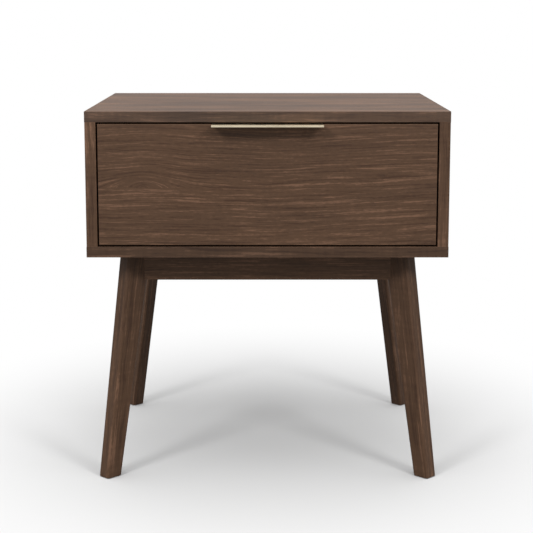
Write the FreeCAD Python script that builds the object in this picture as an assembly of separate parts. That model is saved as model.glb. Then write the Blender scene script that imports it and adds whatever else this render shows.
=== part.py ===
import FreeCAD, Part
import math
import os

# Side table with one drawer, on a frame of four splayed legs. Millimetres.
# X runs to the right, Y runs to the back and Z runs up. The origin is on the floor, below the
# middle of the box that holds the whole table, so the drawer's front faces -Y.

V = FreeCAD.Vector

# Case
case_width = 500.0
case_depth = 400.0
overall_height = 521.0
case_bottom = 319.0
board = 15.0
side_inset = 0.3
top_arris = 1.0
board_arris = 0.4
back_thickness = 6.0
back_lap = 7.0
back_slack = 0.5

# Drawer front and its pull
front_gap = 2.5
pull_width = 152.0
pull_reach = 24.0
pull_sheet = 1.5
pull_lip = 2.5
pull_lip_thickness = 2.0
pull_lip_round = 0.6
pull_arris = 0.3
pull_tail = 15.0

# Drawer box
box_board = 12.0
box_arris = 1.0
box_height = 130.0
box_length = 350.0
box_bottom = 349.0
fingers = 10
finger_slack = 0.1
bottom_sheet = 5.0
bottom_rise = 12.0
groove_depth = 6.0

# Drawer slides
slide_thickness = 12.7
slide_length = 350.0
slide_setback = 17.0
slide_centre = 400.0
slide_sheet = 1.2
slide_half_height = 22.5
slide_reach = 10.8
slide_step = 4.6
slide_lip = 1.3
race_clearance = 0.3
ball_radius = 1.4
balls_in_row = 7
cage_sheet = 0.6
cage_length = 174.0
cage_setback = 105.0

# Leg frame
leg_thickness = 21.0
leg_foot_width = 25.0
leg_top_width = 41.0
leg_lean = 45.0
leg_arris = 3.5
foot_from_side = 17.0
foot_from_front = 6.0
apron_height = 41.0
apron_thickness = 18.0
apron_inset = 43.5
glide_radius = 8.5
glide_proud = 1.0
block_height = 36.0
block_reach = 122.5
block_half_width = 31.0

# Fastener fits
bite_gap = 0.05
clear_gap = 0.3
seam = 0.1
fastener_arris = 0.8

# How far a cutter stands out past the face that it opens
overshoot = 1.0

# Planes worked out from the driving dimensions
front_y = pull_reach - (case_depth + pull_reach) / 2
back_y = front_y + case_depth
middle_y = front_y + case_depth / 2
half_width = case_width / 2
inner_bottom = case_bottom + board
inner_top = overall_height - board
side_outer = half_width - side_inset
side_inner = side_outer - board
box_half_width = side_inner - slide_thickness
box_front_y = front_y + board
box_back_y = box_front_y + box_length
front_half_width = side_inner - front_gap
front_low = inner_bottom + front_gap
front_high = inner_top - front_gap
apron_low = case_bottom - apron_height
bolt_height = case_bottom - apron_height / 2

nodes = {}


# ---------------------------------------------------------------- helpers

def block(x, y, z):
    """A box between two values on each axis."""
    low = V(min(x), min(y), min(z))
    return Part.makeBox(max(x) - low.x, max(y) - low.y, max(z) - low.z, low)


def rounded(shape, radius, wanted):
    """The shape with every edge that the function wanted picks rounded over."""
    return shape.makeFillet(radius, [edge for edge in shape.Edges if wanted(edge)])


def on_plane(edge, axis, value):
    """True if the whole edge lies where its coordinate along the axis has the value."""
    return all(abs(getattr(v.Point, axis) - value) < 1e-6 for v in edge.Vertexes)


def along(edge, axis):
    """True if the edge is straight and runs along the axis."""
    ends = [vertex.Point for vertex in edge.Vertexes]
    run = ends[1] - ends[0]
    return abs(abs(getattr(run, axis)) - run.Length) < 1e-6


def closed(edge):
    """True if the edge is a whole circle."""
    return len(edge.Vertexes) == 1


def placed(shape, point, direction):
    """A copy whose own origin goes to the point and whose +Z turns to the direction."""
    moved = shape.copy()
    moved.Placement = FreeCAD.Placement(point, FreeCAD.Rotation(V(0, 0, 1), direction))
    return moved


def rod(point, direction, radius, length):
    return Part.makeCylinder(radius, length, point, direction)


def without(shape, cutters):
    """The shape with all of the cutters taken out of it."""
    return shape.cut(Part.makeCompound(cutters)) if cutters else shape


def group(solids):
    return Part.makeCompound(solids)


def mirror_x(shape):
    return shape.mirror(V(0, 0, 0), V(1, 0, 0))


def mirror_y(shape):
    return shape.mirror(V(0, middle_y, 0), V(0, 1, 0))


def both_sides(solids):
    """The solids and their mirror images across the table's middle."""
    return solids + [mirror_x(solid) for solid in solids]


def four_corners(solids):
    """The solids of the front left corner, and their images in the other three."""
    left = solids + [mirror_y(solid) for solid in solids]
    return both_sides(left)


def plan(points, low, high):
    """A prism that stands on an outline given as X and Y pairs."""
    corners = [V(x, y, low) for x, y in points]
    face = Part.Face(Part.makePolygon(corners + corners[:1]))
    return face.extrude(V(0, 0, high - low))


# ---------------------------------------------------------------- fasteners
# Each is made with its seat at the origin and its tip towards +Z.

def cross_recess(size, depth):
    """The driver's cross, sunk from the plane z = 0."""
    blade = size / 4
    one = Part.makeBox(size, blade, depth, V(-size / 2, -blade / 2, 0))
    other = Part.makeBox(blade, size, depth, V(-blade / 2, -size / 2, 0))
    return one.fuse(other)


def shank(radius, length):
    """A screw's core with its point."""
    point = 1.5 * radius
    tip_radius = 0.2 * radius
    core = Part.makeCylinder(radius, length - point)
    return core.fuse(Part.makeCone(radius, tip_radius, point, V(0, 0, length - point)))


def countersunk_screw(radius, length, gap=0.0):
    """Its flat head is flush with the plane z = 0. With a gap it is the hole for the screw."""
    head = 2 * radius
    cone = Part.makeCone(head + gap, radius + gap, head - radius)
    if gap:
        return cone.fuse(Part.makeCylinder(radius + gap, length + gap))
    screw = cone.fuse(shank(radius, length))
    return screw.cut(cross_recess(head, radius * 0.8))


def pan_screw(radius, length):
    """Its head stands on the plane z = 0, with a softened rim."""
    head_height = 1.1 * radius
    head = Part.makeCylinder(2 * radius, head_height, V(0, 0, -head_height))
    head = rounded(head, 0.5 * radius, lambda edge: on_plane(edge, "z", -head_height))
    recess = cross_recess(2 * radius, radius * 0.7)
    recess.translate(V(0, 0, -head_height))
    return head.fuse(shank(radius, length)).cut(recess)


def hole(point, direction, radius, depth, gap=bite_gap):
    """A round hole that a fastener of this radius fills to this depth."""
    return rod(point, direction, radius + gap, depth + gap)


# ---------------------------------------------------------------- case

screw_radius = 1.75
cam_radius = 7.5
cam_depth = 12.0
cam_from_end = 24.0
cam_slot_width = 8.0
cam_slot_depth = 2.0
cam_bolt_radius = 3.0
cam_bolt_slack = 1.0
cam_bolt_bite = 10.0
cam_bolt_stem = 20.0
cam_neck_radius = 1.9
cam_neck_length = 3.0
cam_head_length = 3.0
cam_offsets = (60.0, 340.0)
dowel_offsets = (120.0, 280.0)
dowel_radius = 4.0
dowel_in_panel = 10.0
dowel_in_side = 20.0
back_screw_radius = 1.5
back_screw_length = 16.0
back_screw_spread = 160.0


def case_joints():
    """The joint plane's height and the way into the side panel, for the top and bottom joints."""
    return ((inner_top, V(0, 0, -1)), (inner_bottom, V(0, 0, 1)))


def cam_bolt():
    """Its threaded end is below z = 0, in the panel, and its head is in the cam."""
    neck_start = V(0, 0, cam_bolt_stem)
    head_start = V(0, 0, cam_bolt_stem + cam_neck_length)
    thread = Part.makeCylinder(cam_bolt_radius, cam_bolt_bite, V(0, 0, -cam_bolt_bite))
    stem = Part.makeCylinder(cam_bolt_radius, cam_bolt_stem)
    neck = Part.makeCylinder(cam_neck_radius, cam_neck_length, neck_start)
    head = Part.makeCylinder(cam_bolt_radius, cam_head_length, head_start)
    return thread.fuse([stem, neck, head])


def cam_lock(centre, inwards):
    """A round cam that fills its hole in a side panel and grips the bolt's head."""
    drum = rod(centre, inwards, cam_radius, cam_depth)
    bolt_way = V(centre.x + inwards.x * board / 2, centre.y, centre.z)
    slot = cross_recess(cam_slot_width, cam_slot_depth)
    away = rod(bolt_way - V(0, 0, cam_from_end), V(0, 0, 1), cam_bolt_radius + clear_gap,
               2 * cam_from_end)
    return without(drum, [away, placed(slot, centre, inwards)])


def back_screw_seats():
    """Along the back's four edges: three above, three below and one at each side."""
    edge_x = side_inner + back_lap / 2
    edge_low = inner_bottom - back_lap / 2
    edge_high = inner_top + back_lap / 2
    spots = [(x, z) for x in (-back_screw_spread, 0, back_screw_spread)
             for z in (edge_low, edge_high)]
    spots += [(x, (inner_bottom + inner_top) / 2) for x in (-edge_x, edge_x)]
    return [V(x, back_y, z) for x, z in spots]


def make_case():
    top = block((-half_width, half_width), (front_y, back_y), (inner_top, overall_height))
    top = rounded(top, top_arris,
                  lambda e: on_plane(e, "z", overall_height) or along(e, "z"))
    top = rounded(top, board_arris,
                  lambda e: on_plane(e, "z", inner_top) and (along(e, "x") or along(e, "y")))
    bottom = block((-half_width, half_width), (front_y, back_y), (case_bottom, inner_bottom))
    bottom = rounded(bottom, board_arris, lambda e: True)
    side = block((-side_outer, -side_inner), (front_y, back_y), (inner_bottom, inner_top))
    side = rounded(side, board_arris, lambda e: along(e, "z"))

    lap = side_inner + back_lap
    rabbet = block((-lap, lap), (back_y - back_thickness, back_y + overshoot),
                   (inner_bottom - back_lap, inner_top + back_lap))
    top_cuts, bottom_cuts, side_cuts = [rabbet], [rabbet], [rabbet]

    panel_lap = back_lap - back_slack
    back = block((-side_inner - panel_lap, side_inner + panel_lap),
                 (back_y - back_thickness, back_y),
                 (inner_bottom - panel_lap, inner_top + panel_lap))

    bolts, locks, dowels = [], [], []
    mid_x = -side_outer + board / 2
    for height, down in case_joints():
        panel_cuts = top_cuts if height == inner_top else bottom_cuts
        for offset in cam_offsets:
            joint = V(mid_x, front_y + offset, height)
            bolts.append(placed(cam_bolt(), joint, down))
            centre = V(-side_inner, joint.y, height + down.z * cam_from_end)
            locks.append(cam_lock(centre, V(-1, 0, 0)))
            panel_cuts.append(hole(joint, -down, cam_bolt_radius, cam_bolt_bite))
            side_cuts.append(rod(joint, down, cam_bolt_radius + cam_bolt_slack, cam_from_end))
            side_cuts.append(hole(centre, V(-1, 0, 0), cam_radius, cam_depth))
        for offset in dowel_offsets:
            joint = V(mid_x, front_y + offset, height)
            dowel = rod(joint - down * dowel_in_panel, down, dowel_radius,
                        dowel_in_panel + dowel_in_side)
            dowels.append(rounded(dowel, fastener_arris, closed))
            panel_cuts.append(hole(joint, -down, dowel_radius, dowel_in_panel))
            side_cuts.append(hole(joint, down, dowel_radius, dowel_in_side))

    back_screw = countersunk_screw(back_screw_radius, back_screw_length)
    back_drill = countersunk_screw(back_screw_radius, back_screw_length, bite_gap)
    back_screws = [placed(back_screw, seat, V(0, -1, 0)) for seat in back_screw_seats()]
    back_holes = [placed(back_drill, seat, V(0, -1, 0)) for seat in back_screw_seats()]

    slide_holes = [placed(countersunk_screw(screw_radius, slide_screw_length, bite_gap), seat,
                          V(-1, 0, 0)) for seat in slide_screw_seats()]
    base_holes = [hole(V(x, y, case_bottom), V(0, 0, 1), base_screw_radius, base_screw_bite)
                  for x, y in base_screw_spots()]

    top_cuts += [mirror_x(cutter) for cutter in top_cuts[1:]] + back_holes
    bottom_cuts += [mirror_x(cutter) for cutter in bottom_cuts[1:]] + back_holes + base_holes
    side = without(side, side_cuts + back_holes + slide_holes)
    nodes["top_panel"] = without(top, top_cuts)
    nodes["bottom_panel"] = without(bottom, bottom_cuts)
    nodes["left_side_panel"] = side
    nodes["right_side_panel"] = mirror_x(side)
    nodes["back_panel"] = without(back, back_holes)
    nodes["case_cam_bolts"] = group(both_sides(bolts))
    nodes["case_cam_locks"] = group(both_sides(locks))
    nodes["case_dowels"] = group(both_sides(dowels))
    nodes["back_panel_screws"] = group(back_screws)


# ---------------------------------------------------------------- leg frame
# The front left corner is made first. A point in it is given by its way in along the diagonal
# from the foot's outer face, its way across the diagonal, and its height.

foot_corner = V(-half_width + foot_from_side, front_y + foot_from_front, 0)
inward = V(1, 1, 0).normalize()
across = V(1, -1, 0).normalize()
base_screw_radius = 2.0
base_screw_bite = 10.0
base_screw_length = 36.0
base_screw_spread = 110.0
base_screw_side_spread = 80.0
spigot_radius = 3.0
spigot_height = 13.0
hanger_radius = 4.0
hanger_bite = 28.0
hanger_end = 4.0
nut_flats = 13.0
nut_height = 6.5
washer_radius = 9.0
washer_height = 1.6
block_screw_radius = 2.0
block_screw_length = 24.0
block_screw_cover = 11.0
block_screw_way = 94.0
block_screw_lift = 12.0
head_recess_radius = 4.5
head_recess_depth = 40.0


def corner_point(way_in, way_across, height):
    return foot_corner + inward * way_in + across * way_across + V(0, 0, height)


def leg_outer(height):
    """How far in along the diagonal the leg's outer face is at a height."""
    return leg_lean * height / case_bottom


def leg_inner(height):
    """How far in along the diagonal the leg's inner face is at a height."""
    growth = leg_lean + leg_top_width - leg_foot_width
    return leg_foot_width + growth * height / case_bottom


def base_screw_spots():
    """Where the screws go up through the aprons into the case, two in each apron."""
    apron_y = foot_corner.y + apron_inset + apron_thickness / 2
    apron_x = foot_corner.x + apron_inset + apron_thickness / 2
    front = [(x, apron_y) for x in (-base_screw_spread, base_screw_spread)]
    left = [(apron_x, middle_y + y) for y in (-base_screw_side_spread, base_screw_side_spread)]
    rear = [(x, 2 * middle_y - y) for x, y in front]
    right = [(-x, y) for x, y in left]
    return front + rear + left + right


def make_leg():
    profile = [corner_point(leg_outer(glide_proud), 0, glide_proud),
               corner_point(leg_inner(glide_proud), 0, glide_proud),
               corner_point(leg_inner(case_bottom), 0, case_bottom),
               corner_point(leg_outer(case_bottom), 0, case_bottom)]
    face = Part.Face(Part.makePolygon(profile + profile[:1]))
    face.translate(across * (-leg_thickness / 2))
    leg = face.extrude(across * leg_thickness)
    leg = rounded(leg, leg_arris, lambda e: abs(e.BoundBox.ZLength) > case_bottom / 2)
    return rounded(leg, board_arris, lambda e: on_plane(e, "z", glide_proud))


def make_glide(centre):
    """A nylon pad with a spigot that is pressed into the foot."""
    pad = rod(centre, V(0, 0, 1), glide_radius, glide_proud)
    pad = rounded(pad, board_arris, lambda e: on_plane(e, "z", 0) and closed(e))
    return pad.fuse(rod(centre, V(0, 0, 1), spigot_radius, spigot_height))


def make_corner_block():
    """A block behind the leg. Its tongue fills the slot between the ends of two aprons."""
    slot = leg_thickness / 2 - seam
    apron_corner = (apron_inset + apron_thickness) * math.sqrt(2)
    outline = [(leg_outer(case_bottom), -slot),
               (apron_corner + slot, -slot),
               (apron_corner + block_half_width, -block_half_width),
               (block_reach, -block_half_width)]
    outline += [(way_in, -way_across) for way_in, way_across in reversed(outline)]
    low = case_bottom - block_height
    corners = [corner_point(way_in, way_across, low) for way_in, way_across in outline]
    face = Part.Face(Part.makePolygon(corners + corners[:1]))
    solid = face.extrude(V(0, 0, block_height))
    leg_side = [corner_point(0, 0, 0),
                corner_point(leg_inner(0) + seam, 0, 0),
                corner_point(leg_inner(case_bottom) + seam, 0, case_bottom),
                corner_point(0, 0, case_bottom)]
    wedge = Part.Face(Part.makePolygon(leg_side + leg_side[:1]))
    wedge.translate(across * -leg_thickness)
    return solid.cut(wedge.extrude(across * 2 * leg_thickness))


def make_aprons():
    """The front and left aprons, with ends cut at 45 degrees against the sides of the legs."""
    half_slot = leg_thickness / math.sqrt(2) + seam
    outer = foot_corner.y + apron_inset
    inner = outer + apron_thickness

    def front_end(y):
        return foot_corner.x + (y - foot_corner.y) + half_slot

    front = plan([(front_end(outer), outer), (-front_end(outer), outer),
                  (-front_end(inner), inner), (front_end(inner), inner)],
                 apron_low, case_bottom)
    outer_x = foot_corner.x + apron_inset
    inner_x = outer_x + apron_thickness

    def left_end(x):
        return foot_corner.y + (x - foot_corner.x) + half_slot

    left = plan([(outer_x, left_end(outer_x)), (inner_x, left_end(inner_x)),
                 (inner_x, 2 * middle_y - left_end(inner_x)),
                 (outer_x, 2 * middle_y - left_end(outer_x))],
                apron_low, case_bottom)
    front = rounded(front, board_arris, lambda e: on_plane(e, "z", apron_low) and along(e, "x"))
    left = rounded(left, board_arris, lambda e: on_plane(e, "z", apron_low) and along(e, "y"))
    return front, left


def hexagon(flats):
    """The outline of a nut this wide across its flats, as a face at the origin."""
    rim = []
    for i in range(6):
        angle = math.radians(60 * i + 30)
        rim.append(V(math.cos(angle), math.sin(angle), 0) * (flats / math.sqrt(3)))
    return Part.Face(Part.makePolygon(rim + rim[:1]))


def make_frame():
    leg = make_leg()
    corner = make_corner_block()
    front_apron, left_apron = make_aprons()

    foot = corner_point((leg_outer(0) + leg_inner(0)) / 2, 0, 0)
    glide = make_glide(foot)
    leg_cuts = [hole(foot, V(0, 0, 1), spigot_radius, spigot_height)]

    bolt_start = leg_inner(bolt_height) - hanger_bite
    nut_seat = block_reach + washer_height
    bolt_length = nut_seat + nut_height + hanger_end - bolt_start
    bolt_at = corner_point(bolt_start, 0, bolt_height)
    bolt = rod(bolt_at, inward, hanger_radius, bolt_length)
    bolt = rounded(bolt, fastener_arris, closed)
    leg_cuts.append(hole(bolt_at, inward, hanger_radius, bolt_length))
    block_cuts = [rod(bolt_at, inward, hanger_radius + clear_gap, bolt_length)]

    washer = Part.makeCylinder(washer_radius, washer_height)
    washer = washer.cut(Part.makeCylinder(hanger_radius + clear_gap, washer_height))
    washer = placed(washer, corner_point(block_reach, 0, bolt_height), inward)
    nut = hexagon(nut_flats).extrude(V(0, 0, nut_height))
    nut = nut.cut(Part.makeCylinder(hanger_radius + bite_gap, nut_height))
    nut = placed(nut, corner_point(nut_seat, 0, bolt_height), inward)

    screws, apron_cuts = [], []
    seat_way = apron_inset + apron_thickness + block_screw_cover
    for height in (bolt_height - block_screw_lift, bolt_height + block_screw_lift):
        for seat, way in (
            (foot_corner + V(block_screw_way, seat_way, height), V(0, -1, 0)),
            (foot_corner + V(seat_way, block_screw_way, height), V(-1, 0, 0)),
        ):
            screws.append(placed(pan_screw(block_screw_radius, block_screw_length), seat, way))
            drill = hole(seat, way, block_screw_radius, block_screw_length)
            block_cuts += [drill, rod(seat, -way, head_recess_radius, head_recess_depth)]
            apron_cuts.append(drill)

    base_screws, base_cuts = [], []
    seat_height = case_bottom + base_screw_bite - base_screw_length
    for x, y in base_screw_spots():
        seat = V(x, y, seat_height)
        base_screws.append(placed(pan_screw(base_screw_radius, base_screw_length), seat,
                                  V(0, 0, 1)))
        base_cuts.append(hole(seat, V(0, 0, 1), base_screw_radius, base_screw_length))
        base_cuts.append(rod(V(x, y, apron_low - overshoot), V(0, 0, 1), head_recess_radius,
                             seat_height - apron_low + overshoot))

    all_apron_cuts = four_corners(apron_cuts) + base_cuts
    front_apron = without(front_apron, all_apron_cuts)
    left_apron = without(left_apron, all_apron_cuts)
    nodes["front_apron"] = front_apron
    nodes["rear_apron"] = mirror_y(front_apron)
    nodes["left_apron"] = left_apron
    nodes["right_apron"] = mirror_x(left_apron)

    leg = without(leg, leg_cuts)
    corner = without(corner, block_cuts)
    for name, solid in (("leg", leg), ("corner_block", corner), ("foot_glide", glide)):
        nodes[name + "_front_left"] = solid
        nodes[name + "_front_right"] = mirror_x(solid)
        nodes[name + "_rear_left"] = mirror_y(solid)
        nodes[name + "_rear_right"] = mirror_x(mirror_y(solid))
    nodes["hanger_bolts"] = group(four_corners([bolt]))
    nodes["hanger_washers"] = group(four_corners([washer]))
    nodes["hanger_nuts"] = group(four_corners([nut]))
    nodes["corner_block_screws"] = group(four_corners(screws))
    nodes["base_screws"] = group(base_screws)


# ---------------------------------------------------------------- drawer

front_screw_length = 24.0
front_screw_spread = 150.0
front_screw_heights = (385.0, 450.0)
pull_screw_length = 10.0
pull_screw_spots = (-55.0, 0.0, 55.0)
pull_screw_radius = 1.5


def make_pull():
    """A brass plate over the drawer front's top edge, with a lip in front and a tail behind."""
    top = front_high
    tail_back = box_front_y + pull_sheet
    lip_front = front_y - pull_reach
    points = [(lip_front, top), (tail_back, top), (tail_back, top - pull_tail),
              (box_front_y, top - pull_tail), (box_front_y, top - pull_sheet),
              (lip_front + pull_lip_thickness, top - pull_sheet),
              (lip_front + pull_lip_thickness, top - pull_lip), (lip_front, top - pull_lip)]
    corners = [V(-pull_width / 2, y, z) for y, z in points]
    face = Part.Face(Part.makePolygon(corners + corners[:1]))
    pull = face.extrude(V(pull_width, 0, 0))
    pull = rounded(pull, pull_lip_round,
                   lambda e: on_plane(e, "y", lip_front) and on_plane(e, "z", top - pull_lip))
    pull = rounded(pull, pull_arris,
                   lambda e: on_plane(e, "y", lip_front) and on_plane(e, "z", top))
    seats = [V(x, tail_back, top - pull_sheet - pull_tail / 2) for x in pull_screw_spots]
    holes = [hole(seat, V(0, -1, 0), pull_screw_radius, pull_screw_length) for seat in seats]
    screws = [placed(pan_screw(pull_screw_radius, pull_screw_length), seat, V(0, -1, 0))
              for seat in seats]
    return without(pull, holes), screws, holes


def finger_slots(keep_even, y, x):
    """The slots at a corner of the drawer box, in every second finger's place."""
    pitch = box_height / fingers
    slots = []
    for i in range(fingers):
        if (i % 2 == 0) != keep_even:
            low = box_bottom + i * pitch - finger_slack / 2
            slots.append(block(x, y, (low, low + pitch + finger_slack)))
    return slots


def make_drawer_box():
    """Four boards with finger joints, and a thin bottom in a groove."""
    high = box_bottom + box_height
    inner_x = box_half_width - box_board
    left = block((-box_half_width, -inner_x), (box_front_y, box_back_y), (box_bottom, high))
    left = rounded(left, box_arris, lambda e: on_plane(e, "z", high) and along(e, "y"))
    front = block((-box_half_width, box_half_width), (box_front_y, box_front_y + box_board),
                  (box_bottom, high))
    back = block((-box_half_width, box_half_width), (box_back_y - box_board, box_back_y),
                 (box_bottom, high))
    front = rounded(front, box_arris, lambda e: on_plane(e, "z", high) and along(e, "x"))
    back = rounded(back, box_arris, lambda e: on_plane(e, "z", high) and along(e, "x"))

    corner_x = (-box_half_width - overshoot, -inner_x)
    front_y_span = (box_front_y - overshoot, box_front_y + box_board)
    back_y_span = (box_back_y - box_board, box_back_y + overshoot)
    side_slots = (finger_slots(False, front_y_span, corner_x)
                  + finger_slots(False, back_y_span, corner_x))
    front_slots = both_sides(finger_slots(True, front_y_span, corner_x))
    back_slots = both_sides(finger_slots(True, back_y_span, corner_x))

    sheet_low = box_bottom + bottom_rise
    reach_x = inner_x + groove_depth
    reach_front = box_front_y + box_board - groove_depth
    reach_back = box_back_y - box_board + groove_depth
    groove = block((-reach_x, reach_x), (reach_front, reach_back),
                   (sheet_low - seam, sheet_low + bottom_sheet + seam))
    sheet = block((-reach_x + back_slack, reach_x - back_slack),
                  (reach_front + back_slack, reach_back - back_slack),
                  (sheet_low, sheet_low + bottom_sheet))

    left = without(left, side_slots + [groove] + drawer_slide_holes())
    front = without(front, front_slots + [groove] + drawer_front_holes())
    nodes["drawer_box_left"] = left
    nodes["drawer_box_right"] = mirror_x(left)
    nodes["drawer_box_front"] = front
    nodes["drawer_box_back"] = without(back, back_slots + [groove])
    nodes["drawer_bottom"] = sheet


def front_screw_seats():
    """The heads' centres inside the drawer, on its front board."""
    return [V(x, box_front_y + box_board, z) for x in (-front_screw_spread, front_screw_spread)
            for z in front_screw_heights]


def drawer_front_holes():
    return [hole(seat, V(0, -1, 0), screw_radius, front_screw_length)
            for seat in front_screw_seats()]


def make_drawer_front():
    front = block((-front_half_width, front_half_width), (front_y, box_front_y),
                  (front_low, front_high))
    front = rounded(front, board_arris, lambda e: True)
    pull, pull_screws, pull_holes = make_pull()
    recess = block((-pull_width / 2 - seam, pull_width / 2 + seam),
                   (front_y - overshoot, box_front_y + overshoot),
                   (front_high - pull_sheet, front_high + overshoot))
    nodes["drawer_front"] = without(front, [recess] + pull_holes + drawer_front_holes())
    nodes["edge_pull"] = pull
    nodes["pull_screws"] = group(pull_screws)
    screw = pan_screw(screw_radius, front_screw_length)
    nodes["drawer_front_screws"] = group([placed(screw, seat, V(0, -1, 0))
                                          for seat in front_screw_seats()])


# ---------------------------------------------------------------- drawer slides
# Each slide is three channels, one inside the other, with a cage of balls in each race. The
# sections are drawn with the distance from the side panel first and the height second.

slide_screw_length = 13.0
drawer_screw_length = 10.0
slide_screw_offsets = (37.0, 165.0, 293.0)


def slide_screw_seats():
    """The heads' centres on the left cabinet channel's web."""
    x = -side_inner + slide_sheet
    return [V(x, front_y + slide_setback + offset, slide_centre)
            for offset in slide_screw_offsets]


def drawer_screw_seats():
    """The heads' centres on the left drawer channel's web."""
    x = -box_half_width - slide_sheet
    return [V(x, front_y + slide_setback + offset, slide_centre)
            for offset in slide_screw_offsets]


def drawer_slide_holes():
    return [hole(seat, V(1, 0, 0), screw_radius, drawer_screw_length)
            for seat in drawer_screw_seats()]


def section(half_outline, setback, length):
    """A channel in the left slide. Its outline is given for the upper half."""
    outline = half_outline + [(x, -z) for x, z in reversed(half_outline)]
    start = front_y + slide_setback + setback
    corners = [V(-side_inner + x, start, slide_centre + z) for x, z in outline]
    return Part.Face(Part.makePolygon(corners + corners[:1])).extrude(V(0, length, 0))


def lipped_channel(web, half_height):
    """A channel that opens towards the drawer, with lips that hold the balls in."""
    roof = half_height - slide_sheet
    half = [(web, half_height), (slide_reach, half_height), (slide_reach, roof - slide_lip),
            (slide_reach - slide_sheet, roof - slide_lip), (slide_reach - slide_sheet, roof),
            (web + slide_sheet, roof)]
    return section(half, 0, slide_length)


def drawer_channel(half_height):
    """The innermost channel, with its web against the drawer box."""
    web = slide_thickness - slide_sheet
    start = 2 * slide_sheet + 2 * cage_sheet + 4 * race_clearance
    roof = half_height - slide_sheet
    half = [(web, roof), (start, roof), (start, half_height), (slide_thickness, half_height)]
    return section(half, 0, slide_length)


def ball_cage(web, race_height):
    """A thin channel with a row of balls in each flange, and the balls."""
    half_height = race_height + cage_sheet / 2
    tip = slide_reach - slide_sheet - 2 * race_clearance
    half = [(web, half_height), (tip, half_height), (tip, half_height - cage_sheet),
            (web + cage_sheet, half_height - cage_sheet)]
    cage = section(half, cage_setback - slide_setback, cage_length)
    ball_x = -side_inner + (web + cage_sheet + tip) / 2
    pitch = cage_length / balls_in_row
    balls, pockets = [], []
    for i in range(balls_in_row):
        for side in (-1, 1):
            y = front_y + cage_setback + pitch * (i + 0.5)
            centre = V(ball_x, y, slide_centre + side * race_height)
            balls.append(Part.makeSphere(ball_radius, centre))
            pockets.append(rod(centre - V(0, 0, ball_radius), V(0, 0, 1), ball_radius + seam,
                               2 * ball_radius))
    return without(cage, pockets), balls


def make_slides():
    middle_half = slide_half_height - slide_step
    drawer_half = middle_half - slide_step
    middle_web = slide_sheet + 2 * race_clearance + cage_sheet
    outer_race = slide_half_height - slide_sheet - (slide_step - slide_sheet) / 2
    inner_race = outer_race - slide_step

    cabinet = lipped_channel(0, slide_half_height)
    middle = lipped_channel(middle_web, middle_half)
    drawer = drawer_channel(drawer_half)
    cutter = countersunk_screw(screw_radius, slide_screw_length, bite_gap)
    cabinet = without(cabinet, [placed(cutter, seat, V(-1, 0, 0))
                                for seat in slide_screw_seats()])
    drawer = without(drawer, drawer_slide_holes())
    outer_cage, outer_balls = ball_cage(slide_sheet + race_clearance, outer_race)
    inner_cage, inner_balls = ball_cage(middle_web + slide_sheet + race_clearance, inner_race)

    for name, solid in (("slide_cabinet", cabinet), ("slide_middle", middle),
                        ("slide_drawer", drawer), ("outer_ball_cage", outer_cage),
                        ("inner_ball_cage", inner_cage)):
        nodes[name + "_left"] = solid
        nodes[name + "_right"] = mirror_x(solid)
    nodes["outer_balls"] = group(both_sides(outer_balls))
    nodes["inner_balls"] = group(both_sides(inner_balls))
    cabinet_screws = [placed(countersunk_screw(screw_radius, slide_screw_length), seat,
                             V(-1, 0, 0)) for seat in slide_screw_seats()]
    drawer_screws = [placed(pan_screw(screw_radius, drawer_screw_length), seat, V(1, 0, 0))
                     for seat in drawer_screw_seats()]
    nodes["slide_cabinet_screws"] = group(both_sides(cabinet_screws))
    nodes["slide_drawer_screws"] = group(both_sides(drawer_screws))


make_case()
make_frame()
make_drawer_front()
make_drawer_box()
make_slides()

os.makedirs("parts", exist_ok=True)
for name, shape in nodes.items():
    shape.exportStep(os.path.join("parts", name + ".step"))
print(len(nodes), "nodes written")
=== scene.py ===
import math
from collections import namedtuple

import bpy
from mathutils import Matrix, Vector


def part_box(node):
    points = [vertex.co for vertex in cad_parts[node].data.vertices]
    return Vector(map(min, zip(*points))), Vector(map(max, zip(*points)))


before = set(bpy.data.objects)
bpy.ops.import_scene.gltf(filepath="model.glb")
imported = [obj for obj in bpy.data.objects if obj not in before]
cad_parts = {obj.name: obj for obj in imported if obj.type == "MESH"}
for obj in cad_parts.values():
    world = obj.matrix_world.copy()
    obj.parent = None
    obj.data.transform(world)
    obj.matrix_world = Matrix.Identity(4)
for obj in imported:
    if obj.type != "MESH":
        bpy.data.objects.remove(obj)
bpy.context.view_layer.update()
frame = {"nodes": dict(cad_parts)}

# The side table's looks. Metres: X to the right, Y to the back, Z up, the origin on the floor.
# Every visible piece is a CAD node, so this file gives each one its material, and adds the
# floor, the light and the camera.

MM = 0.001
AXES = {"x": Vector((1, 0, 0)), "y": Vector((0, 1, 0)), "z": Vector((0, 0, 1))}
WHITE = (1.0, 1.0, 1.0, 1.0)

# How much of their full white the floor and the horizon show in the table's gloss.
MIRRORED = 0.3


# ---------------------------------------------------------------- shader building

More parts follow.
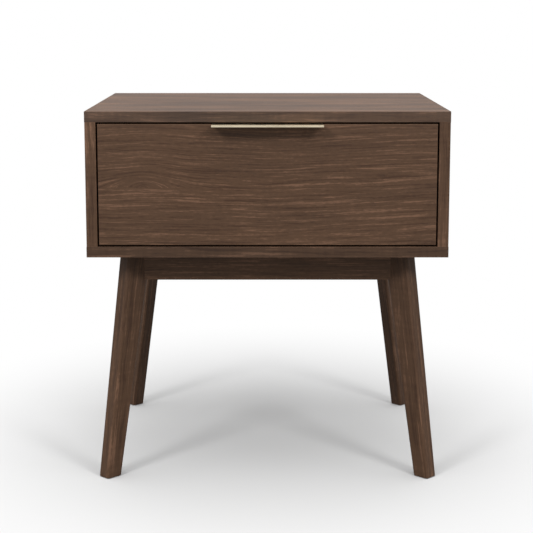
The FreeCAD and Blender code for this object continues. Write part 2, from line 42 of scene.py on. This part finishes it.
class Graph:
    """A node tree. Each call adds a node and returns its output socket."""

    def __init__(self, tree):
        self.tree = tree
        self.coordinates = tree.nodes.new("ShaderNodeTexCoord")

    def feed(self, socket, value):
        if isinstance(value, bpy.types.NodeSocket):
            self.tree.links.new(value, socket)
        elif value is not None:
            socket.default_value = value

    def math(self, operation, a, b=None):
        node = self.tree.nodes.new("ShaderNodeMath")
        node.operation = operation
        for socket, value in zip(node.inputs, (a, b)):
            self.feed(socket, value)
        return node.outputs[0]

    def add(self, *terms):
        total = terms[0]
        for term in terms[1:]:
            total = self.math("ADD", total, term)
        return total

    def minus(self, a, b):
        return self.math("SUBTRACT", a, b)

    def times(self, a, b):
        return self.math("MULTIPLY", a, b)

    def size(self, value):
        return self.math("ABSOLUTE", value)

    def pick(self, factor, a, b):
        """The number a where the factor is 0, and b where it is 1."""
        return self.add(a, self.times(factor, self.minus(b, a)))

    def dot(self, vector, direction):
        node = self.tree.nodes.new("ShaderNodeVectorMath")
        node.operation = "DOT_PRODUCT"
        self.feed(node.inputs[0], vector)
        node.inputs[1].default_value = direction
        return node.outputs["Value"]

    def vector(self, x, y, z):
        node = self.tree.nodes.new("ShaderNodeCombineXYZ")
        for socket, value in zip(node.inputs, (x, y, z)):
            self.feed(socket, value)
        return node.outputs[0]

    def ramp(self, value, low, high, bottom=0.0, top=1.0):
        """Bottom up to the value low, top from the value high, and smooth between them."""
        node = self.tree.nodes.new("ShaderNodeMapRange")
        node.interpolation_type = "SMOOTHSTEP"
        self.feed(node.inputs["Value"], value)
        node.inputs["From Min"].default_value = low
        node.inputs["From Max"].default_value = high
        node.inputs["To Min"].default_value = bottom
        node.inputs["To Max"].default_value = top
        return node.outputs["Result"]

    def is_seen(self):
        """1 where it is seen, MIRRORED where it shows in gloss, 0 where it only lights things."""
        path = self.tree.nodes.new("ShaderNodeLightPath")
        return self.add(path.outputs["Is Camera Ray"],
                        self.times(path.outputs["Is Glossy Ray"], MIRRORED))


class Surface(Graph):
    """A new material's node tree, with its shader."""

    def __init__(self, name):
        self.material = bpy.data.materials.new(name)
        self.material.use_nodes = True
        super().__init__(self.material.node_tree)
        self.shader = self.tree.nodes["Principled BSDF"]
        self.position = self.coordinates.outputs["Object"]
        self.normal = self.coordinates.outputs["Normal"]

    def noise(self, vector, detail=2.0, roughness=0.5):
        """Smooth noise about 0.5, with features of about one unit of the vector."""
        node = self.tree.nodes.new("ShaderNodeTexNoise")
        self.feed(node.inputs["Vector"], vector)
        node.inputs["Scale"].default_value = 1.0
        node.inputs["Detail"].default_value = detail
        node.inputs["Roughness"].default_value = roughness
        return node.outputs["Fac"]

    def mix(self, factor, a, b):
        """Colour a where the factor is 0, and colour b where it is 1."""
        node = self.tree.nodes.new("ShaderNodeMix")
        node.data_type = "RGBA"
        self.feed(node.inputs["Factor"], factor)
        colour_inputs = [socket for socket in node.inputs if socket.type == "RGBA"]
        for socket, value in zip(colour_inputs, (a, b)):
            self.feed(socket, (*value, 1.0) if isinstance(value, tuple) else value)
        return next(socket for socket in node.outputs if socket.type == "RGBA")

    def lighten(self, colour, value):
        """The colour with its lightness multiplied by a value."""
        node = self.tree.nodes.new("ShaderNodeHueSaturation")
        self.feed(node.inputs["Color"], colour)
        self.feed(node.inputs["Value"], value)
        return node.outputs["Color"]

    def bump(self, height, depth, strength):
        node = self.tree.nodes.new("ShaderNodeBump")
        node.inputs["Strength"].default_value = strength
        node.inputs["Distance"].default_value = depth
        self.feed(node.inputs["Height"], height)
        self.feed(self.shader.inputs["Normal"], node.outputs["Normal"])

    def set(self, **values):
        """Numbers and colours go on the shader's own sockets, and sockets are linked to them."""
        for name, value in values.items():
            self.feed(self.shader.inputs[name.replace("_", " ")], value)


# ---------------------------------------------------------------- places on a piece of wood

# Distances from a piece's middle along its grain, across it and into the wood, how near a point
# is to an arris, and 1 on the two wide faces.
Place = namedtuple("Place", "along wide deep arris on_face")

# A face points along an axis where its normal's share along it is more than this.
FACING = 0.7

# How far a leg's middle comes in for each metre up, and how much the leg widens.
LEG_SLOPE = 0.1661
LEG_TAPER = 0.0502
LEG_FOOT_DEPTH = 25 * MM
LEG_THICKNESS = 21 * MM


def faces_along(surface, axis):
    """1 on the faces that point along an axis, and 0 on the others."""
    return surface.math("GREATER_THAN", surface.size(surface.dot(surface.normal, axis)), FACING)


def near_arris(surface, to_faces):
    """The middle one of the distances to three faces, which is 0 on an arris."""
    a, b, c = to_faces
    inner = surface.math("MINIMUM", surface.math("MAXIMUM", a, b), c)
    return surface.math("MAXIMUM", surface.math("MINIMUM", a, b), inner)


def place_on_board(surface, node, order):
    """Order names the axes along the grain, across it and through the board, such as "xzy".
    On the two ends the edge band's grain runs along the width, so there the first two change
    places."""
    low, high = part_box(node)
    middle = (low + high) / 2
    half = (high - low) / 2
    spans = []
    to_faces = []
    for axis in [AXES[name] for name in order]:
        span = surface.minus(surface.dot(surface.position, axis), middle.dot(axis))
        spans.append(span)
        to_faces.append(surface.minus(half.dot(axis), surface.size(span)))
    along, wide, deep = spans
    on_end = faces_along(surface, AXES[order[0]])
    return Place(along=surface.pick(on_end, along, wide),
                 wide=surface.pick(on_end, wide, along),
                 deep=deep,
                 arris=near_arris(surface, to_faces),
                 on_face=faces_along(surface, AXES[order[2]]))


def place_on_leg(surface, node):
    """A leg's grain runs up it. Its width is across the case's diagonal, and its depth is in
    along the diagonal. All of it takes the tone of a face."""
    low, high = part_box(node)
    middle = (low + high) / 2
    inward = Vector((-math.copysign(1, middle.x), -math.copysign(1, middle.y), 0)).normalized()
    across = Vector((-inward.y, inward.x, 0))
    glide_low, glide_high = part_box(node.replace("leg", "foot_glide"))
    foot = (glide_low + glide_high) / 2
    height = surface.dot(surface.position, AXES["z"])
    way_in = surface.minus(surface.dot(surface.position, inward), foot.dot(inward))
    deep = surface.minus(way_in, surface.times(height, LEG_SLOPE))
    wide = surface.minus(surface.dot(surface.position, across), foot.dot(across))
    half_depth = surface.add(surface.times(height, LEG_TAPER / 2), LEG_FOOT_DEPTH / 2)
    to_faces = [surface.minus(half_depth, surface.size(deep)),
                surface.minus(LEG_THICKNESS / 2, surface.size(wide)),
                surface.minus(height, low.z)]
    return Place(height, wide, deep, near_arris(surface, to_faces), 1.0)


# ---------------------------------------------------------------- wood

# Each wood's colours, from its darkest lines to its palest, how dull its finish is and how much
# it shines.
WALNUT = {
    "dark": (0.044, 0.0200, 0.0096),
    "middle": (0.069, 0.0350, 0.0178),
    "light": (0.136, 0.071, 0.041),
    "pore": (0.018, 0.010, 0.007),
    "roughness": 0.50,
    "gloss": 0.28,
}
BIRCH = {
    "dark": (0.50, 0.36, 0.22),
    "middle": (0.60, 0.46, 0.31),
    "light": (0.68, 0.55, 0.39),
    "pore": (0.44, 0.30, 0.18),
    "roughness": 0.55,
    "gloss": 0.3,
}
BEECH = {
    "dark": (0.40, 0.25, 0.14),
    "middle": (0.50, 0.34, 0.20),
    "light": (0.57, 0.41, 0.26),
    "pore": (0.26, 0.15, 0.08),
    "roughness": 0.62,
    "gloss": 0.25,
}

# How one piece of wood differs from the next: how far its lines wander, how much they rise on
# its right half, where its arched eye is, how strong the painted highlight along its arrises is,
# how light its wide faces and its edges are, which on some boards is painted light and shade, how
# cloudy it is, and how much it shines. An edge tone of None is the tone of the faces, and a gloss
# of None is the wood's own.
Looks = namedtuple("Looks", "wander rise eye wear tone edge_tone cloudy gloss",
                   defaults=(24 * MM, 0.0, None, 0.4, 1.0, None, 0.05, None))

# A noise in the wood's surface: its features in a metre along the grain and across it, what it
# adds to the board's seed, its detail and roughness, and its weight in the wood's tone.
Grain = namedtuple("Grain", "along across offset detail roughness weight",
                   defaults=(0.0, 2.0, 0.5, None))
SLOW_DRIFT = Grain(2.2, 6.0)
QUICK_DRIFT = Grain(16.0, 26.0, offset=7.3)
RIPPLE = Grain(75.0, 110.0, offset=9.1, detail=1.0)
BANDS = Grain(5.0, 110.0, offset=1.7, weight=0.35)
STREAKS = Grain(7.0, 250.0, offset=3.1, roughness=0.6, weight=1.0)
HAIRS = Grain(16.0, 640.0, offset=4.3, weight=1.0)
MOTTLE = Grain(160.0, 320.0, offset=6.7, weight=0.35)
CLOUDS = Grain(5.0, 18.0, offset=5.9)

# A noise through the wood: its features in a metre along the grain, across it and inwards.
Solid = namedtuple("Solid", "along across deep detail", defaults=(2.0,))
FIBRE = Solid(70.0, 2200.0, 1800.0)
PORES = Solid(160.0, 3600.0, 2600.0, detail=1.0)
RAGGED = Solid(90.0, 400.0, 400.0)
FIBRE_WEIGHT = 0.6

# How far the lines are shifted by the quick drift and the ripple, and by the depth in the wood.
QUICK_SHIFT = 3.0 * MM
RIPPLE_SHIFT = 0.9 * MM
DEEP_SHIFT = 0.6

# Tones up to the first of a pair, or from the second, are fully dark, or pale, or a pore.
DARK_TONES = (1.38, 1.61)
PALE_TONES = (1.71, 1.97)
PORE_LEVELS = (0.62, 0.74)
PORE_STRENGTH = 0.45

# Where a noise is most of the time, for what follows its whole swing.
SWING = (0.3, 0.7)

# What the streaks and pores add to the roughness, and how the surface stands up and sinks.
STREAK_ROUGHNESS = (-0.05, 0.05)
PORE_ROUGHNESS = 0.12
FIBRE_RELIEF = 0.5
PORE_RELIEF = -0.7
STREAK_RELIEF = 0.6
RELIEF_DEPTH = 0.12 * MM
RELIEF_STRENGTH = 0.5

# The band along an arris where a highlight is painted in the wood's palest colour.
ARRIS_HIGHLIGHT_BAND = (0.4 * MM, 1.1 * MM)
ARRIS_HIGHLIGHT_RAGGEDNESS = 0.8 * MM

# The arched eye in the drawer front's grain, with its place from the front's middle as shares
# of the front's width and height.
EYE_DEPTH = 24 * MM
EYE_HALF_LENGTH = 48 * MM
EYE_DRIFT = 0.4
EYE_PLACE = (-0.365, -0.06)


def grain_noise(surface, grain, along, across, seed):
    vector = surface.vector(surface.times(along, grain.along),
                            surface.times(across, grain.across), seed + grain.offset)
    return surface.noise(vector, grain.detail, grain.roughness)


def solid_noise(surface, solid, along, across, deep):
    vector = surface.vector(surface.times(along, solid.along),
                            surface.times(across, solid.across), surface.times(deep, solid.deep))
    return surface.noise(vector, solid.detail)


def ring_distance(surface, place, seed, looks):
    """How far a point is from the tree's heart. Even steps of it are the grain's lines."""
    shifts = []
    for grain, reach in ((SLOW_DRIFT, looks.wander), (QUICK_DRIFT, QUICK_SHIFT),
                         (RIPPLE, RIPPLE_SHIFT)):
        noise = grain_noise(surface, grain, place.along, place.wide, seed)
        shifts.append(surface.times(surface.minus(noise, 0.5), reach))
    climb = surface.times(surface.math("MAXIMUM", place.along, 0.0), -looks.rise)
    line = surface.add(place.wide, surface.add(*shifts), surface.times(place.deep, DEEP_SHIFT),
                       climb)
    if looks.eye is None:
        return line
    return arch_over_eye(surface, line, place.along, looks.eye)


def arch_over_eye(surface, line, along, eye):
    """The board above the eye's base line was cut near the heart, so its lines arch over the
    eye. The board below it, glued on, is straight."""
    eye_along, eye_wide = eye
    above = surface.minus(line, eye_wide)
    sideways = surface.minus(along, eye_along)
    buried = surface.times(surface.math("TANH", surface.times(sideways, 1 / EYE_HALF_LENGTH)),
                           EYE_DEPTH)
    arch = surface.math("SQRT", surface.add(surface.times(above, above),
                                            surface.times(buried, buried)))
    arched = surface.add(arch, surface.times(above, EYE_DRIFT))
    return surface.pick(surface.math("GREATER_THAN", above, 0.0), line, arched)


def wood_tone(surface, place, rings, seed, streaks, fibre):
    """Low on the dark lines and high on the pale ones."""
    bands = grain_noise(surface, BANDS, place.along, rings, seed)
    hairs = grain_noise(surface, HAIRS, place.along, rings, seed)
    mottle = grain_noise(surface, MOTTLE, place.along, place.wide, seed)
    return surface.add(surface.times(bands, BANDS.weight),
                       surface.times(streaks, STREAKS.weight),
                       surface.times(hairs, HAIRS.weight),
                       surface.times(fibre, FIBRE_WEIGHT),
                       surface.times(mottle, MOTTLE.weight))


def painted_arris_band(surface, place, wear):
    """How strong the painted highlight is, in a ragged band along each arris."""
    ragged = solid_noise(surface, RAGGED, place.along, place.wide, place.deep)
    reach = surface.add(place.arris, surface.times(ragged, ARRIS_HIGHLIGHT_RAGGEDNESS))
    return surface.times(surface.ramp(reach, *ARRIS_HIGHLIGHT_BAND, 1.0, 0.0), wear)


def paint_wood(surface, place, seed, colours, looks):
    """Grain lines, streaks, fibres and pores, with a painted highlight along the arrises."""
    rings = ring_distance(surface, place, seed, looks)
    streaks = grain_noise(surface, STREAKS, place.along, rings, seed)
    fibre = solid_noise(surface, FIBRE, place.along, rings, place.deep)
    pores = surface.ramp(solid_noise(surface, PORES, place.along, rings, place.deep),
                         *PORE_LEVELS)
    tone = wood_tone(surface, place, rings, seed, streaks, fibre)
    colour = surface.mix(surface.ramp(tone, *DARK_TONES, 1.0, 0.0),
                         colours["middle"], colours["dark"])
    colour = surface.mix(surface.ramp(tone, *PALE_TONES), colour, colours["light"])
    colour = surface.mix(surface.times(pores, PORE_STRENGTH), colour, colours["pore"])

    cloud = grain_noise(surface, CLOUDS, place.along, place.wide, seed)
    cloudiness = surface.ramp(cloud, *SWING, 1 - looks.cloudy, 1 + looks.cloudy)
    # Painted light and shade on some boards: their wide faces and edges take their own tones.
    edge_tone = looks.tone if looks.edge_tone is None else looks.edge_tone
    lightness = surface.pick(place.on_face, edge_tone, looks.tone)
    colour = surface.lighten(colour, surface.times(cloudiness, lightness))
    # A painted highlight: the wood's palest colour in a band along each arris.
    colour = surface.mix(painted_arris_band(surface, place, looks.wear), colour, colours["light"])

    surface.set(Base_Color=colour,
                Roughness=surface.add(surface.ramp(streaks, *SWING, *STREAK_ROUGHNESS),
                                      surface.times(pores, PORE_ROUGHNESS),
                                      colours["roughness"]),
                Specular_IOR_Level=colours["gloss"] if looks.gloss is None else looks.gloss)
    relief = surface.add(surface.times(fibre, FIBRE_RELIEF), surface.times(pores, PORE_RELIEF),
                         surface.times(streaks, STREAK_RELIEF))
    surface.bump(relief, RELIEF_DEPTH, RELIEF_STRENGTH)


def wooden_board(node, order, seed, colours, **looks):
    surface = Surface("wood_" + node)
    place = place_on_board(surface, node, order)
    paint_wood(surface, place, seed, colours, Looks(**looks))
    return surface.material


def walnut_leg(node, seed):
    surface = Surface("wood_" + node)
    # The leg's arrises get a weaker painted highlight.
    looks = Looks(wander=12 * MM, tone=1.06, wear=0.2, gloss=0.26)
    paint_wood(surface, place_on_leg(surface, node), seed, WALNUT, looks)
    return surface.material


# ---------------------------------------------------------------- metal and plastic

# A brushed metal's lines and clouds: their features in a metre, along the lines and across
# them. The clouds darken the metal and change its roughness a little.
BRUSH_LINES = (25.0, 3500.0)
BRUSH_CLOUDS = (40.0, 90.0)
BRUSH_DETAIL = 3.0
BRUSH_DARKER = 0.94
BRUSH_CLOUD_LEVELS = (0.35, 0.65)
BRUSH_CLOUD_ROUGHNESS = (-0.015, 0.02)
BRUSH_DEPTH = 0.01 * MM
BRUSH_STRENGTH = 0.4

# A moulded plastic's fine texture: its features in a metre, and how it changes the plastic.
MOULD_TEXTURE = 1800.0
MOULD_LIGHTER = 1.25
MOULD_SMOOTHER = 0.05
MOULD_ROUGHER = 0.08
MOULD_DEPTH = 0.03 * MM
MOULD_STRENGTH = 0.5


def brushed_metal(name, colour, roughness, axis, spread=0.06):
    """Metal with fine lines along an axis. Spread is how much they change its roughness."""
    surface = Surface(name)
    along = surface.dot(surface.position, AXES[axis])
    crosses = [surface.dot(surface.position, AXES[other]) for other in "xyz" if other != axis]

    def stretched(along_scale, cross_scale):
        return surface.vector(surface.times(along, along_scale),
                              *[surface.times(cross, cross_scale) for cross in crosses])

    lines = surface.noise(stretched(*BRUSH_LINES), BRUSH_DETAIL, 0.6)
    cloud = surface.noise(stretched(*BRUSH_CLOUDS), BRUSH_DETAIL)
    darker = tuple(channel * BRUSH_DARKER for channel in colour)
    surface.set(Base_Color=surface.mix(surface.ramp(cloud, *BRUSH_CLOUD_LEVELS), darker, colour),
                Roughness=surface.add(surface.ramp(lines, *SWING, -spread, spread),
                                      surface.ramp(cloud, *SWING, *BRUSH_CLOUD_ROUGHNESS),
                                      roughness),
                Metallic=1.0)
    surface.bump(lines, BRUSH_DEPTH, BRUSH_STRENGTH)
    return surface.material


def moulded_plastic(name, colour, roughness):
    surface = Surface(name)
    scaled = [surface.times(surface.dot(surface.position, axis), MOULD_TEXTURE)
              for axis in AXES.values()]
    fine = surface.noise(surface.vector(*scaled))
    lighter = tuple(channel * MOULD_LIGHTER for channel in colour)
    surface.set(Base_Color=surface.mix(fine, colour, lighter),
                Roughness=surface.ramp(fine, *SWING, roughness - MOULD_SMOOTHER,
                                       roughness + MOULD_ROUGHER))
    surface.bump(fine, MOULD_DEPTH, MOULD_STRENGTH)
    return surface.material


# ---------------------------------------------------------------- every node's finish

def eye_on_drawer_front():
    """Where the grain arches on the drawer front, along and up from the board's middle."""
    low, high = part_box("drawer_front")
    share_along, share_up = EYE_PLACE
    return (share_along * (high.x - low.x), share_up * (high.z - low.z))


# Each walnut board's axes along its grain, across it and through it, the seed of its grain, and
# its looks.
WALNUT_BOARDS = {
    # The top's wide faces are painted lighter, as lit from above, and its edges darker: painted
    # light and shade.
    "top_panel": ("xyz", 11.0, {"tone": 1.34, "edge_tone": 0.74, "cloudy": 0.25, "gloss": 0.44}),
    # The bottom panel is painted darker for the shade low on the case.
    "bottom_panel": ("xyz", 23.0, {"tone": 0.74}),
    "left_side_panel": ("zyx", 31.0, {"tone": 1.05}),
    "right_side_panel": ("zyx", 47.0, {"tone": 1.05}),
    "back_panel": ("xzy", 53.0, {"tone": 0.8, "wear": 0.0}),
    "drawer_front": ("xzy", 61.0, {"tone": 1.04, "rise": 0.03, "eye": eye_on_drawer_front()}),
    # The aprons are painted lighter to make up for the shade under the case: painted light.
    "front_apron": ("xzy", 71.0, {"tone": 1.2, "gloss": 0.24}),
    "rear_apron": ("xzy", 73.0, {"tone": 1.2, "gloss": 0.24}),
    "left_apron": ("yzx", 79.0, {"tone": 1.2, "gloss": 0.24}),
    "right_apron": ("yzx", 83.0, {"tone": 1.2, "gloss": 0.24}),
}

# The same for the plain pieces inside, which have a plain board's looks.
BIRCH_BOARDS = {
    "drawer_bottom": ("xyz", 91.0),
    "drawer_box_left": ("yzx", 97.0),
    "drawer_box_right": ("yzx", 98.0),
    "drawer_box_front": ("xzy", 103.0),
    "drawer_box_back": ("xzy", 104.0),
}
BEECH_PIECES = {
    "corner_block_front_left": ("xyz", 127.0),
    "corner_block_front_right": ("xyz", 132.0),
    "corner_block_rear_left": ("xyz", 137.0),
    "corner_block_rear_right": ("xyz", 142.0),
    "case_dowels": ("zxy", 151.0),
}
LEG_SEEDS = {"front_left": 109.0, "front_right": 112.0, "rear_left": 115.0, "rear_right": 118.0}


def finishes():
    """Each node's material. What is named nowhere is a zinc-plated fastener or a ball."""
    black_steel = brushed_metal("black_zinc_steel", (0.045, 0.045, 0.048), 0.42, "y")
    bright_steel = brushed_metal("bright_steel", (0.66, 0.66, 0.66), 0.30, "z")
    brass = brushed_metal("pale_brass", (0.92, 0.80, 0.59), 0.30, "x", 0.04)
    nylon = moulded_plastic("nylon", (0.030, 0.028, 0.026), 0.5)
    table = dict.fromkeys(frame["nodes"], bright_steel)
    for node, (order, seed, looks) in WALNUT_BOARDS.items():
        table[node] = wooden_board(node, order, seed, WALNUT, **looks)
    for node, (order, seed) in BIRCH_BOARDS.items():
        table[node] = wooden_board(node, order, seed, BIRCH)
    for node, (order, seed) in BEECH_PIECES.items():
        table[node] = wooden_board(node, order, seed, BEECH)
    for corner, seed in LEG_SEEDS.items():
        table["leg_" + corner] = walnut_leg("leg_" + corner, seed)
        table["foot_glide_" + corner] = nylon
    for side in ("left", "right"):
        for channel in ("slide_cabinet_", "slide_middle_", "slide_drawer_"):
            table[channel + side] = black_steel
        for cage in ("outer_ball_cage_", "inner_ball_cage_"):
            table[cage + side] = nylon
    table["edge_pull"] = brass
    table["pull_screws"] = brass
    return table


def dress_nodes():
    for name, material in finishes().items():
        mesh = frame["nodes"][name].data
        mesh.materials.clear()
        mesh.materials.append(material)


# ---------------------------------------------------------------- floor, light and camera

FLOOR_HALF = 30.0
FLOOR_WHITENESS = 0.535

# The floor looks white, but lights the table as a greyer one would.
FLOOR_BOUNCE = 0.40

# The floor's fade to plain white light: where it starts and ends, measured from a point a
# little in front of the table's middle, with distances to the sides counting for more.
FADE_START = 0.25
FADE_END = 0.88
FADE_SIDEWAYS = 1.35
FADE_CENTRE = -0.06


def make_floor():
    """A pale floor that turns to plain white light far from the table, with no horizon."""
    corners = [(-FLOOR_HALF, -FLOOR_HALF, 0), (FLOOR_HALF, -FLOOR_HALF, 0),
               (FLOOR_HALF, FLOOR_HALF, 0), (-FLOOR_HALF, FLOOR_HALF, 0)]
    mesh = bpy.data.meshes.new("floor")
    mesh.from_pydata(corners, [], [(0, 1, 2, 3)])
    floor = bpy.data.objects.new("floor", mesh)
    bpy.context.collection.objects.link(floor)
    surface = Surface("floor_white")
    east = surface.times(surface.dot(surface.position, AXES["x"]), FADE_SIDEWAYS)
    north = surface.minus(surface.dot(surface.position, AXES["y"]), FADE_CENTRE)
    distance = surface.math("SQRT", surface.add(surface.times(east, east),
                                                surface.times(north, north)))
    far = surface.ramp(distance, FADE_START, FADE_END)
    whiteness = surface.ramp(distance, FADE_START, FADE_END, FLOOR_WHITENESS, 0.0)
    bounce = surface.pick(surface.is_seen(), FLOOR_BOUNCE, 1.0)
    surface.set(Base_Color=surface.times(whiteness, bounce), Roughness=0.9,
                Specular_IOR_Level=0.0, Emission_Color=WHITE,
                Emission_Strength=surface.times(far, bounce))
    mesh.materials.append(surface.material)


# The sky's strength: a band round the horizon that looks white and lights the table less, and
# above it a soft light that is strongest overhead and comes more from the front.
SKY_BAND = (0.10, 0.35)
SKY_HORIZON = 0.42
SKY_LOW = 0.46
SKY_OVERHEAD = 2.2
SKY_OVERHEAD_POWER = 3.0
SKY_FRONTWARD = 0.16


def make_sky():
    world = bpy.data.worlds.new("studio")
    world.use_nodes = True
    graph = Graph(world.node_tree)
    direction = graph.coordinates.outputs["Generated"]
    up = graph.dot(direction, AXES["z"])
    back = graph.dot(direction, AXES["y"])
    risen = graph.math("POWER", graph.math("MAXIMUM", up, 0.0), SKY_OVERHEAD_POWER)
    sky = graph.add(SKY_LOW, graph.times(risen, SKY_OVERHEAD), graph.times(back, -SKY_FRONTWARD))
    horizon = graph.pick(graph.is_seen(), SKY_HORIZON, 1.0)
    background = graph.tree.nodes["Background"]
    graph.feed(background.inputs["Strength"], graph.pick(graph.ramp(up, *SKY_BAND), horizon, sky))
    graph.feed(background.inputs["Color"], WHITE)
    bpy.context.scene.world = world


# Two soft lights at the front, one to each side, that point at the floor below the table.
KEY_DISTANCE = 3.0
KEY_AZIMUTH = math.radians(36.0)
KEY_ELEVATION = math.radians(38.0)
KEY_SIZE = 0.65
KEY_WATTS = 29.0
KEY_SIDES = {"key_left": -1, "key_right": 1}


def make_key_light(name, side):
    towards = Vector((side * math.sin(KEY_AZIMUTH) * math.cos(KEY_ELEVATION),
                      -math.cos(KEY_AZIMUTH) * math.cos(KEY_ELEVATION),
                      math.sin(KEY_ELEVATION)))
    data = bpy.data.lights.new(name, "AREA")
    data.shape = "DISK"
    data.size = KEY_SIZE
    data.energy = KEY_WATTS
    light = bpy.data.objects.new(name, data)
    light.location = towards * KEY_DISTANCE
    light.rotation_euler = towards.to_track_quat("Z", "Y").to_euler()
    bpy.context.collection.objects.link(light)


# The camera stands in front of the table, looks down a little, and is shifted a little, so that
# the table's upright edges stay nearly parallel.
CAMERA_PLACE = (-0.0014, -2.110, 0.665)
CAMERA_PITCH = math.radians(8.84)
CAMERA_LENS = 95.44
CAMERA_SENSOR = 36.0
CAMERA_SHIFT = -0.08


def make_camera():
    data = bpy.data.cameras.new("camera")
    data.sensor_width = CAMERA_SENSOR
    data.lens = CAMERA_LENS
    data.shift_y = CAMERA_SHIFT
    camera = bpy.data.objects.new("camera", data)
    camera.location = CAMERA_PLACE
    camera.rotation_euler = (math.pi / 2 - CAMERA_PITCH, 0.0, 0.0)
    bpy.context.collection.objects.link(camera)
    bpy.context.scene.camera = camera
    bpy.context.scene.view_settings.view_transform = "Standard"


dress_nodes()
make_floor()
make_sky()
for key_name, key_side in KEY_SIDES.items():
    make_key_light(key_name, key_side)
make_camera()
